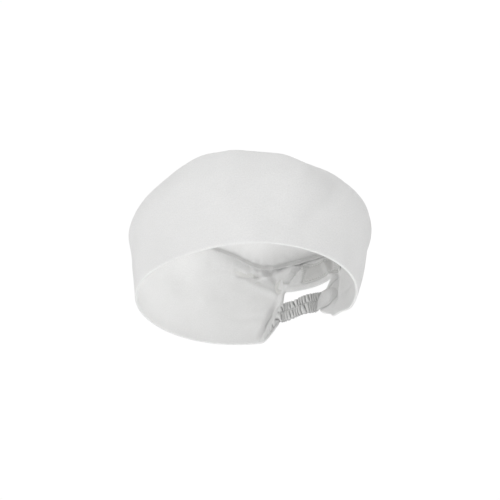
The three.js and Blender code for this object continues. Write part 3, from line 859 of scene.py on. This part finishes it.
class CAP_OT_crown(bpy.types.Operator):
    """Make the domed crown with its turned-down, overlocked edge"""

    bl_idname = "cloth_cap.crown"
    bl_label = "Crown"

    COLUMNS = 240
    RINGS = 40
    EDGE_ROWS = 6
    EDGE_ROUNDING = 0.0012

    def execute(self, context):
        wall = Wall()
        self.panel(wall)
        self.seam_threads(wall)
        return {"FINISHED"}

    def panel(self, wall):
        """The domed cloth, from its middle out and down its turned edge."""
        crown, cloth = bpy.context.scene.cap_crown, wall.band.cloth
        degrees = np.linspace(0, 360, self.COLUMNS + 1)
        turn = np.radians(degrees)
        every = np.ones(len(degrees))
        ends = wall.allowance(np.array([FRONT, BACK / 2, BACK]), np.zeros(3), np.zeros(3))
        middle = np.array([0.0, (ends[0, 1] + ends[2, 1]) / 2, ends[1, 2] + crown.rise - cloth / 2])
        edge = wall.allowance(degrees, every * cloth / 2, every * cloth / 2)
        rows, flat_rows = [], []
        for out in np.arange(self.RINGS + 1) / self.RINGS:
            points = middle + (edge - middle) * out
            sag = 0.5 * np.sin(2 * turn + 5 * out) + 0.35 * np.sin(5 * turn + 1.0 + 7 * out)
            sag = sag * out * (1 - out ** 6)
            pucker = (0.16 + 0.5 * back_corners(degrees)) * smoothstep(0.80, 0.95, out)
            pucker = pucker * np.sin(turn * 62 + 2.0 * np.sin(5 * turn))
            rounded = -self.EDGE_ROUNDING * smoothstep(0.965, 1.0, out) ** 2 * 0.5
            points[:, 2] = middle[2] + (edge[:, 2] - middle[2]) * out * out + (sag + pucker) * MM + rounded
            rows.append(points)
            flat_rows.append(points[:, :2])
        depths = np.concatenate([[0.0011], np.linspace(0.002, crown.allowance, self.EDGE_ROWS)])
        for depth in depths:
            points = wall.allowance(degrees, every * depth, every * cloth / 2)
            rows.append(points)
            away = points[:, :2] - middle[:2]
            away /= np.linalg.norm(away, axis=1, keepdims=True)
            flat_rows.append(edge[:, :2] + away * depth)
        rows, flat_rows = np.array(rows), np.array(flat_rows)
        bm, column, row = grid(self.COLUMNS, len(rows) - 1)
        bend(bm, rows[row, column], flat_rows[row, column])
        piece = make_piece("crown_cloth", bm, plain_weave_cloth(), join=3e-5)
        give_thickness(piece, cloth * 0.9)
        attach(piece, "cap")
        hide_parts("crown_panel")

    def seam_threads(self, wall):
        """The seam's stitches and the overlocking of the turned-down edge."""
        crown, cloth = bpy.context.scene.cap_crown, wall.band.cloth
        degrees = np.linspace(0, 360, 1441)
        inner = cloth + 0.0001

        def line(depth, inwards):
            return wall.allowance(degrees, depth + 0 * degrees, inwards + 0 * degrees)

        seam = run_stitches("crown_seam_stitches", line(0.0013, inner), line(0.0013, inner + RAISED),
                            twisted_thread(), *SEAM_STITCH)
        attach(seam, "cap")
        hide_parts("crown_seam_thread")
        # overlock: slanting threads across the raw edge, with a line of loops along it
        low, high = crown.allowance + 0.0002, crown.allowance - 0.0045
        centres, ahead, outward = [], [], []
        path = line((low + high) / 2, inner)
        bottom, top = line(low, inner), line(high, inner)
        raised = line((low + high) / 2, inner + RAISED)
        places = stitch_line(path, EDGE_LOOP[0])
        for side in (-1, 1):
            first = sample(bottom, places)
            second = sample(top, places + side * 1.1)
            centres.append((first + second) / 2)
            ahead.append(second - first)
            outward.append(sample(raised, places) - sample(path, places))
        long = float(np.linalg.norm(ahead[0], axis=1).mean())
        slants = stitches("crown_overlock_threads", np.concatenate(centres), np.concatenate(ahead),
                          np.concatenate(outward), twisted_thread(), long * 1.05, OVERLOCK_THREAD)
        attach(slants, "cap")
        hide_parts("crown_overlock")
        for label, depth, inwards in (("crown_overlock_edge_loops", low, inner - 0.0004),
                                      ("crown_overlock_inner_loops", high, inner)):
            loops = run_stitches(label, line(depth, inwards), line(depth, inwards + RAISED),
                                 twisted_thread(), *EDGE_LOOP)
            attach(loops, "cap")


def rounded_rectangle(across, up, half_width, half_height, radius):
    """Bends a square grid's places into a rectangle with round corners."""
    x, y = across * half_width, up * half_height
    dx = np.abs(x) - (half_width - radius)
    dy = np.abs(y) - (half_height - radius)
    corner = (dx > 0) & (dy > 0)
    far = np.hypot(dx, dy)
    scale = np.where(corner, np.maximum(dx, dy) / np.where(far > 0, far, 1), 1.0)
    x = np.where(corner, np.sign(x) * (half_width - radius + dx * scale), x)
    y = np.where(corner, np.sign(y) * (half_height - radius + dy * scale), y)
    return x, y


class CAP_OT_cutout_hem(bpy.types.Operator):
    """Make the hem tape round the cut-out with its topstitching"""

    bl_idname = "cloth_cap.cutout_hem"
    bl_label = "Cut-out Hem"

    ALONG = 180
    ACROSS = 12
    DEPTH = 0.00035
    PUFF = 0.00035

    def path(self, wall, inset, bottom):
        """The line up one side of the cut-out, over its top and down the other."""
        cutout = bpy.context.scene.cap_cutout
        side = cutout.half_angle * wall.back_radius + inset
        top = cutout.top + inset
        bend_radius = cutout.corner + inset
        turn = np.linspace(0, math.pi / 2, 9)
        right = [(side, bottom)]
        right += [(side - bend_radius * (1 - math.cos(a)), top - bend_radius * (1 - math.sin(a)))
                  for a in turn]
        corners = np.array(right + [(-x, y) for x, y in right[::-1]])
        run = np.concatenate([[0], np.cumsum(np.linalg.norm(np.diff(corners, axis=0), axis=1))])
        steps = np.linspace(0, run[-1], self.ALONG + 1)
        return np.stack([np.interp(steps, run, corners[:, axis]) for axis in (0, 1)], -1), steps

    def execute(self, context):
        wall = Wall()
        cutout, strap = context.scene.cap_cutout, context.scene.cap_strap
        bottom = strap.bottom + cutout.hem_inset
        inner, run = self.path(wall, cutout.hem_inset, bottom)
        outer, _ = self.path(wall, cutout.hem_inset + cutout.hem_width, bottom)
        bm, column, row = grid(self.ALONG, self.ACROSS)
        share = row / self.ACROSS
        flat = inner[column] * (1 - share)[:, None] + outer[column] * share[:, None]
        bulge = np.sin(np.pi * share)
        puff = self.PUFF * bulge ** 0.6 + 0.00009 * bulge * np.sin(run[column] * 2 * math.pi / 0.0026)
        points = wall.inside(flat[:, 0], flat[:, 1], self.DEPTH + puff)
        bend(bm, points, np.stack([run[column], cutout.hem_width * share], -1))
        hem = make_piece("cutout_hem_tape", bm, plain_weave_cloth())
        give_thickness(hem, wall.band.cloth * 0.8)
        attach(hem, "cap")
        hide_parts("cutout_binding")
        line, _ = self.path(wall, cutout.hem_inset + cutout.hem_width * 0.72, bottom + strap.width)
        depth = self.DEPTH + 0.00055
        sewing = run_stitches("cutout_hem_stitches", wall.inside(line[:, 0], line[:, 1], depth),
                              wall.inside(line[:, 0], line[:, 1], depth + RAISED),
                              twisted_thread(), *HEM_STITCH)
        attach(sewing, "cap")
        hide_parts("cutout_topstitch")
        return {"FINISHED"}


class CAP_OT_tag(bpy.types.Operator):
    """Make the blank tag and its stitching"""

    bl_idname = "cloth_cap.tag"
    bl_label = "Blank Tag"

    ACROSS = 92
    UP = 48
    DEPTH = 0.0003
    PUFF = 0.0009

    def execute(self, context):
        wall = Wall()
        tag, cutout = context.scene.cap_tag, context.scene.cap_cutout
        low = cutout.top + cutout.hem_inset + cutout.hem_width + 0.0005
        middle = low + tag.height / 2
        bm, column, row = grid(self.ACROSS, self.UP)
        across, up = column * 2 / self.ACROSS - 1, row * 2 / self.UP - 1
        x, y = rounded_rectangle(across, up, tag.width / 2, tag.height / 2, tag.corner)
        rim = np.minimum(tag.width / 2 - np.abs(x), tag.height / 2 - np.abs(y))
        sewn = np.exp(-((rim - tag.stitch_inset) / 0.0009) ** 2)
        puff = self.PUFF * smoothstep(0, 0.0012, rim) + 0.0004 * smoothstep(0.003, 0.008, rim) - 0.0005 * sewn
        puff = puff + 0.00012 * np.sin(x * 2 * math.pi / 0.0125 + y * 160) * smoothstep(0, 0.004, rim)
        bend(bm, wall.inside(x + tag.off_centre, y + middle, self.DEPTH + puff), np.stack([x, y], -1))
        patch = make_piece("tag_tape", bm, ribbed_tape())
        give_thickness(patch, 0.00055)
        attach(patch, "cap")
        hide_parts("tag_patch")
        half_width, half_height = tag.width / 2 - tag.stitch_inset, tag.height / 2 - tag.stitch_inset
        turn = np.linspace(0, math.pi / 2, 7)
        radius = max(tag.corner - tag.stitch_inset, 0.0006)
        line = []
        for sx, sy, begin in ((1, 1, 0), (-1, 1, 1), (-1, -1, 2), (1, -1, 3)):
            for a in turn:
                way = begin * math.pi / 2 + a
                line.append((sx * (half_width - radius) + radius * math.cos(way),
                             sy * (half_height - radius) + radius * math.sin(way)))
        line = np.array(line + line[:1])
        run = np.concatenate([[0], np.cumsum(np.linalg.norm(np.diff(line, axis=0), axis=1))])
        steps = np.linspace(0, run[-1], 400)
        x = np.interp(steps, run, line[:, 0]) + tag.off_centre
        y = np.interp(steps, run, line[:, 1]) + middle
        depth = self.DEPTH + self.PUFF + 0.00015
        sewing = run_stitches("tag_stitches", wall.inside(x, y, depth), wall.inside(x, y, depth + RAISED),
                              twisted_thread(), *TAG_STITCH)
        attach(sewing, "cap")
        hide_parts("tag_stitching")
        return {"FINISHED"}


class StrapShape:
    """Where the gathered strap lies: flat between the tabs and on the tails beyond them."""

    DEPTH = 0.0013
    LIFT_OFF, ON_TAIL = 0.0155, 0.0235

    def __init__(self, wall):
        self.wall = wall
        self.strap = bpy.context.scene.cap_strap
        self.middle = self.strap.bottom + self.strap.width / 2
        self.start = self.strap.half_angle * wall.back_radius
        band, degrees = wall.band, BACK - math.degrees(self.strap.half_angle)
        radius, z, tilt = wall.profile(degrees, self.middle / band.height_back)
        lift = -(band.ply_offset + self.DEPTH)
        anchor = wall.polar(degrees, radius + lift * np.cos(tilt), z - lift * np.sin(tilt))
        self.centre = np.array([0.0, anchor[1], anchor[2]])
        lean = band.lean_back
        self.up = np.array([0.0, math.sin(lean), math.cos(lean)])
        self.inwards = np.array([0.0, -math.cos(lean), math.sin(lean)])

    def at(self, x, w, n):
        """x along the strap, w up its width, n towards the head."""
        plane = self.centre + np.outer(w, self.up) + np.outer(n, self.inwards)
        plane[:, 0] += x
        settled = 1 - 0.70 * smoothstep(0.026, 0.035, np.abs(x))
        sewn = self.wall.inside(x, self.middle + w, (self.DEPTH + n) * settled)
        share = smoothstep(self.LIFT_OFF, self.ON_TAIL, np.abs(x))[:, None]
        return plane * (1 - share) + sewn * share

    def round(self, share):
        """The place up the strap (-1 to 1) at a share of the way round it, and 1 on its inner face."""
        turn = share * 2 * math.pi
        return -np.sign(np.cos(turn)) * np.abs(np.cos(turn)) ** 0.8, (np.sin(turn) >= 0).astype(float)

    def puckers(self, x, w, inner):
        """How deep the cloth is pinched (0) or stands up (1), and how far it bellies out."""
        upper = w > 0
        jitter = 0.9 * np.sin(x * 410 + 1.0) + 0.7 * np.sin(x * 230 + 0.5 + 1.7 * upper + 2.3 * inner)
        phase = np.pi * (x + w * 0.30) / self.strap.pucker + jitter + 1.2 * upper + 1.9 * inner
        wave = np.abs(np.cos(phase)) ** 0.75
        fine = 0.16 * np.sin(2.3 * phase + 0.4 + w * 420)
        belly = np.sin(np.pi * np.clip(np.abs(w) / (self.strap.width / 2), 0, 1)) ** 0.55
        return wave + fine * (1 - wave), belly

    def gathered(self, x, w_share=0.0):
        """1 where the cloth is gathered, fading to 0 on the tabs; it runs onto the wearer's-right tab."""
        further = np.where(x < 0, 0.0080 - 0.0060 * w_share, -0.0026)
        fade = np.where(x < 0, 0.0060, 0.0030)
        return 1 - smoothstep(0, 1, (np.abs(x) - self.start - further) / fade + 0.5)

    def leaf(self, x, w_share):
        """Place up the strap: the wearer's-right tab is a leaf that droops along its tail."""
        cutout, radius = bpy.context.scene.cap_cutout, self.wall.back_radius
        half, side, tail = self.strap.width / 2, cutout.half_angle * radius, cutout.tail_half_angle * radius
        along = np.clip((np.abs(x) - 0.019) / (tail + 0.0006 - 0.019), 0, 1)
        down_tail = np.clip((tail - np.abs(x)) / (tail - side), 0, 1)
        upper = half - 0.034 * (1 - np.sqrt(1 - along ** 2))
        lower = -half - 0.9 * cutout.tail_top * (1 - down_tail ** 1.5)
        drooped = lower + (upper - lower) * (w_share + 1) / 2
        return np.where(x < 0, drooped, w_share * half)

    def tab_end(self, side, w_share):
        """How far from the middle the tab's end lies, at each height."""
        if side > 0:
            return self.start + self.strap.tab - 0.0030 * np.abs(w_share) ** 2
        tail = bpy.context.scene.cap_cutout.tail_half_angle * self.wall.back_radius
        return tail - 0.0004 - 0.0020 * np.clip(-w_share, 0, 1) ** 2

    def surface(self, x, around_share):
        """The casing's cloth: w up the strap, n towards the head, and how much shade is painted into its
        colour deep in a gather.
        """
        w_share, inner = self.round(around_share)
        full = self.gathered(x, w_share)
        wave, belly = self.puckers(x, w_share * self.strap.width / 2, inner)
        edge = np.abs(w_share) ** 5
        rest = 0.00062 * np.sqrt(np.clip(1 - w_share ** 2, 0, 1)) + 0.00002
        stands = 0.0009 * belly + 0.00035 * (1 - edge)
        n = rest * (1 - full) + full * (stands + self.strap.pucker_depth * (wave - 0.42) * (0.22 + belly))
        n = np.maximum(n, 0.0003) * np.sqrt(np.clip((1 - w_share ** 2) * 9, 0, 1))
        n = np.where(inner > 0, n, -n)
        scallop = full * edge * 0.0013 * (wave - 0.55)
        w = self.leaf(x, w_share) + np.sign(w_share) * scallop
        # the elastic draws the strap into a soft, uneven line
        w = w + full * 0.0006 * np.sin(x * 150 + 0.6)
        n = n + full * 0.0007 * np.sin(x * 190 + 1.2) + (1 - full) * 0.0001
        # painted shade: deep darkens the colour in the gathers' valleys and near the strap's edges, where
        # shade falls
        deep = full * (1 - smoothstep(0.0, 0.80, wave)) * (0.65 + 0.35 * belly)
        deep = np.maximum(deep, 0.6 * full * (1 - smoothstep(0.0, 0.55, belly)))
        return w, n, deep


class CAP_OT_strap(bpy.types.Operator):
    """Make the gathered casing with its sewn tabs, the elastic inside and their stitching"""

    bl_idname = "cloth_cap.strap"
    bl_label = "Gathered Strap"

    ALONG = 120
    ROUND = 112
    ELASTIC_ALONG = 40
    ELASTIC_UP = 24
    # where the tab holds the strap; nothing bows the strap from here
    HELD = 0.0195
    # the flat cloth's length against its gathered length
    GATHER = 1.9

    def execute(self, context):
        shape = StrapShape(Wall())
        for side, label in ((1, "left"), (-1, "right")):
            self.casing(shape, side, label)
            self.elastic(shape, side, label)
            self.sewing(shape, side, label)
        return {"FINISHED"}

    def bow(self, piece, shape, side):
        """Bakes a piece's transform into its mesh; nothing bows it with the strap."""
        _, y, z = shape.centre
        Vector((side * self.HELD, y, z))
        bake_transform(piece)

    def casing(self, shape, side, label):
        """Half of the gathered cloth tube with its sewn tab."""
        strap = shape.strap
        bm, column, row = grid(self.ALONG, self.ROUND)
        around_share = row / self.ROUND
        far = shape.tab_end(side, -np.cos(around_share * 2 * math.pi))
        x = side * column / self.ALONG * far
        w, n, deep = shape.surface(x, around_share)
        # painted shade: the sewn ends are painted a little darker, standing in for the shade on the tabs
        deep = np.maximum(deep, 0.22 * (1 - smoothstep(0.010, 0.030, far - np.abs(x))))
        # the painted shade is kept in the 'fold' attribute, 1 where none is painted
        fold = bm.verts.layers.float.new("fold")
        for vert, shade in zip(bm.verts, 1 - deep):
            vert[fold] = shade
        longer = np.abs(x) + (self.GATHER - 1) * np.minimum(np.abs(x), shape.start)
        bend(bm, shape.at(x, w, n), np.stack([longer, around_share * 2 * strap.width], -1))
        bmesh.ops.remove_doubles(bm, verts=bm.verts, dist=2e-6)
        bmesh.ops.recalc_face_normals(bm, faces=bm.faces)
        weave = plain_weave_cloth("cap_gathered_weave", gathered=True)
        piece = make_piece(f"strap_cloth_{label}", bm, weave)
        give_thickness(piece, 0.0004, offset=-1.0)
        self.bow(piece, shape, side)
        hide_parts(f"strap_tab_{label}", "strap_casing")

    def elastic(self, shape, side, label):
        """Half of the elastic inside the tube."""
        bm, column, row = grid(self.ELASTIC_ALONG, self.ELASTIC_UP)
        x = side * column / self.ELASTIC_ALONG * (shape.start + 0.001)
        w = (row / self.ELASTIC_UP - 0.5) * shape.strap.elastic_width
        n = 0.0007 * shape.gathered(x) * np.sin(x * 190 + 1.2)
        bend(bm, shape.at(x, w, n), np.stack([x, w], -1))
        piece = make_piece(f"strap_elastic_{label}", bm, knitted_elastic())
        give_thickness(piece, 0.0004)
        self.bow(piece, shape, side)
        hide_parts("strap_elastic")

    def sewing(self, shape, side, label):
        """The stitches along the strap's faces and round its tab."""
        x = side * np.linspace(0.0006, shape.start - 0.0005, 160)
        for face, quarter, way in (("inner", 0.25, 1), ("outer", 0.75, -1)):
            w, n, _ = shape.surface(x, np.full(len(x), quarter))
            path = shape.at(x, w, n + way * 0.00012)
            raised = shape.at(x, w, n + way * (0.00012 + RAISED))
            row = run_stitches(f"strap_stitches_{face}_{label}", path, raised, twisted_thread(),
                               *STRAP_STITCH)
            self.bow(row, shape, side)
            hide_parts(f"strap_stitch_{face}")
        up = np.linspace(-0.93, 0.93, 160)
        x = side * (shape.tab_end(side, up) - 0.0020)
        w, n = shape.leaf(x, up), np.full(len(x), 0.00085)
        row = run_stitches(f"tab_stitches_{label}", shape.at(x, w, n), shape.at(x, w, n + RAISED),
                           twisted_thread(), *TAB_STITCH)
        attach(row, "cap")
        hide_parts(f"tab_stitch_{label}")


class CAP_OT_stage(bpy.types.Operator):
    """Make the pale floor, the soft lights, the white surround and the camera"""

    bl_idname = "cloth_cap.stage"
    bl_label = "Stage"

    FLOOR_AT = -0.72
    # the camera: degrees round, up and over, then metres from the cap and off its middle, then the lens
    TURN, TIP, LEAN = 37.4, -31.5, 3.9
    AWAY, AIM, ASIDE, LIFTED = 1.203, 0.045, 0.0023, 0.0014
    LENS = 100.44
    # each lamp's name, place and width
    LAMPS = (
        ("key", (-0.30, -1.26, 0.28), 0.35),
        ("side", (1.25, -0.35, 0.30), 0.4),
        ("fill", (0.06, -0.10, -0.62), 0.4),
    )
    INNER_AT = (-0.046, -0.016, 0.050)

    def execute(self, context):
        self.floor()
        self.backdrop()
        self.surround()
        self.lights()
        self.camera()
        context.scene.view_settings.view_transform = "Standard"
        return {"FINISHED"}

    def floor(self):
        """A plain pale floor, well below the cap."""
        finish = Finish("floor_paint")
        shade = tuple(bpy.context.scene.cap_looks.floor)
        mottle = finish.noise(finish.body_place(1.0), 9.0, 3.0)
        shades = finish.shades(darker(shade, 0.99), shade, mottle)
        finish.finish(shades, 0.85 + mottle * 0.1, mottle, 0.0002, 0.3)
        bm = bmesh.new()
        bmesh.ops.create_grid(bm, x_segments=8, y_segments=8, size=3.0)
        bmesh.ops.translate(bm, verts=bm.verts, vec=(0, 0, self.FLOOR_AT))
        mesh = bpy.data.meshes.new("floor")
        bm.to_mesh(mesh)
        bm.free()
        mesh.materials.append(finish.material)
        floor = bpy.data.objects.new("floor", mesh)
        bpy.context.scene.collection.objects.link(floor)

    def backdrop(self):
        """A white dome behind everything, seen by the camera and casting no light."""
        finish = Finish("white_backdrop")
        glow = finish.node("ShaderNodeEmission", None, {"Color": (1, 1, 1, 1), "Strength": 1.02})
        output = finish.nodes["Material Output"]
        finish.links.new(glow.outputs[0], output.inputs["Surface"])
        bm = bmesh.new()
        bmesh.ops.create_uvsphere(bm, u_segments=32, v_segments=16, radius=6.0)
        bmesh.ops.reverse_faces(bm, faces=bm.faces)
        mesh = bpy.data.meshes.new("backdrop")
        bm.to_mesh(mesh)
        bm.free()
        mesh.materials.append(finish.material)
        dome = bpy.data.objects.new("backdrop", mesh)
        for rays in ("visible_diffuse", "visible_glossy", "visible_transmission", "visible_shadow"):
            setattr(dome, rays, False)
        bpy.context.scene.collection.objects.link(dome)

    def surround(self):
        """Even white light from all round."""
        world = bpy.data.worlds.new("white_surround")
        world.use_nodes = True
        background = world.node_tree.nodes["Background"]
        background.inputs["Color"].default_value = (1, 1, 1, 1)
        background.inputs["Strength"].default_value = bpy.context.scene.cap_looks.surround
        bpy.context.scene.world = world

    def lights(self):
        """Three soft lamps round the cap and a small one inside it."""
        looks = bpy.context.scene.cap_looks
        target = Vector((0, 0, 0.05))
        for name, at, size in self.LAMPS:
            light = bpy.data.lights.new(name, "AREA")
            light.size = size
            light.energy = getattr(looks, name)
            lamp = bpy.data.objects.new(name, light)
            lamp.visible_camera = False
            lamp.location = at
            lamp.rotation_euler = (target - Vector(at)).to_track_quat("-Z", "Y").to_euler()
            bpy.context.scene.collection.objects.link(lamp)
        glow = bpy.data.lights.new("inner", "POINT")
        glow.energy = looks.inner
        glow.shadow_soft_size = 0.045
        lamp = bpy.data.objects.new("inner", glow)
        lamp.location = self.INNER_AT
        lamp.visible_camera = False
        bpy.context.scene.collection.objects.link(lamp)

    def camera(self):
        """Looks up at the cap from in front and below, turned a little round its own axis."""
        turn, tip, lean = math.radians(self.TURN), math.radians(self.TIP), math.radians(self.LEAN)
        target = Vector((0, Wall().shift, self.AIM))
        ahead = Vector((-math.sin(turn) * math.cos(tip), math.cos(turn) * math.cos(tip), -math.sin(tip)))
        side = ahead.cross(Vector((0, 0, 1))).normalized()
        over = side.cross(ahead)
        right = side * math.cos(lean) + over * math.sin(lean)
        above = -side * math.sin(lean) + over * math.cos(lean)
        place = target - ahead * self.AWAY + right * self.ASIDE + above * self.LIFTED
        lens = bpy.data.cameras.new("camera")
        lens.sensor_width = 36
        lens.lens = self.LENS
        lens.clip_start = 0.01
        camera = bpy.data.objects.new("camera", lens)
        camera.matrix_world = Matrix.Translation(place) @ Matrix(
            (right, above, -ahead)).transposed().to_4x4()
        bpy.context.scene.collection.objects.link(camera)
        bpy.context.scene.camera = camera


class CAP_PT_panel(bpy.types.Panel):
    """Sidebar panel with the cap's sizes, colours and makers"""

    bl_idname = "CAP_PT_panel"
    bl_label = "Cloth Cap"
    bl_space_type = "VIEW_3D"
    bl_region_type = "UI"
    bl_category = "Cloth Cap"

    def draw(self, context):
        layout = self.layout
        for maker in MAKERS:
            layout.operator(maker.bl_idname)
        for attribute, group in GROUPS.items():
            box = layout.box()
            box.label(text=group.__doc__)
            for name in group.__annotations__:
                box.prop(getattr(context.scene, attribute), name)


GROUPS = {
    "cap_band": CapBandSizes,
    "cap_cutout": CapCutoutSizes,
    "cap_strap": CapStrapSizes,
    "cap_tag": CapTagSizes,
    "cap_crown": CapCrownSizes,
    "cap_looks": CapLooks,
}
MAKERS = (CAP_OT_band, CAP_OT_crown, CAP_OT_cutout_hem, CAP_OT_tag, CAP_OT_strap, CAP_OT_stage)


def register():
    for shown in (*GROUPS.values(), *MAKERS, CAP_PT_panel):
        bpy.utils.register_class(shown)
    for attribute, group in GROUPS.items():
        setattr(bpy.types.Scene, attribute, PointerProperty(type=group))


def unregister():
    for attribute in GROUPS:
        delattr(bpy.types.Scene, attribute)
    for shown in reversed((*GROUPS.values(), *MAKERS, CAP_PT_panel)):
        bpy.utils.unregister_class(shown)


def main():
    """Makes the whole cap and its stage."""
    register()
    bpy.ops.cloth_cap.band()
    bpy.ops.cloth_cap.crown()
    bpy.ops.cloth_cap.cutout_hem()
    bpy.ops.cloth_cap.tag()
    bpy.ops.cloth_cap.strap()
    bpy.ops.cloth_cap.stage()


if __name__ == "__main__":
    main()
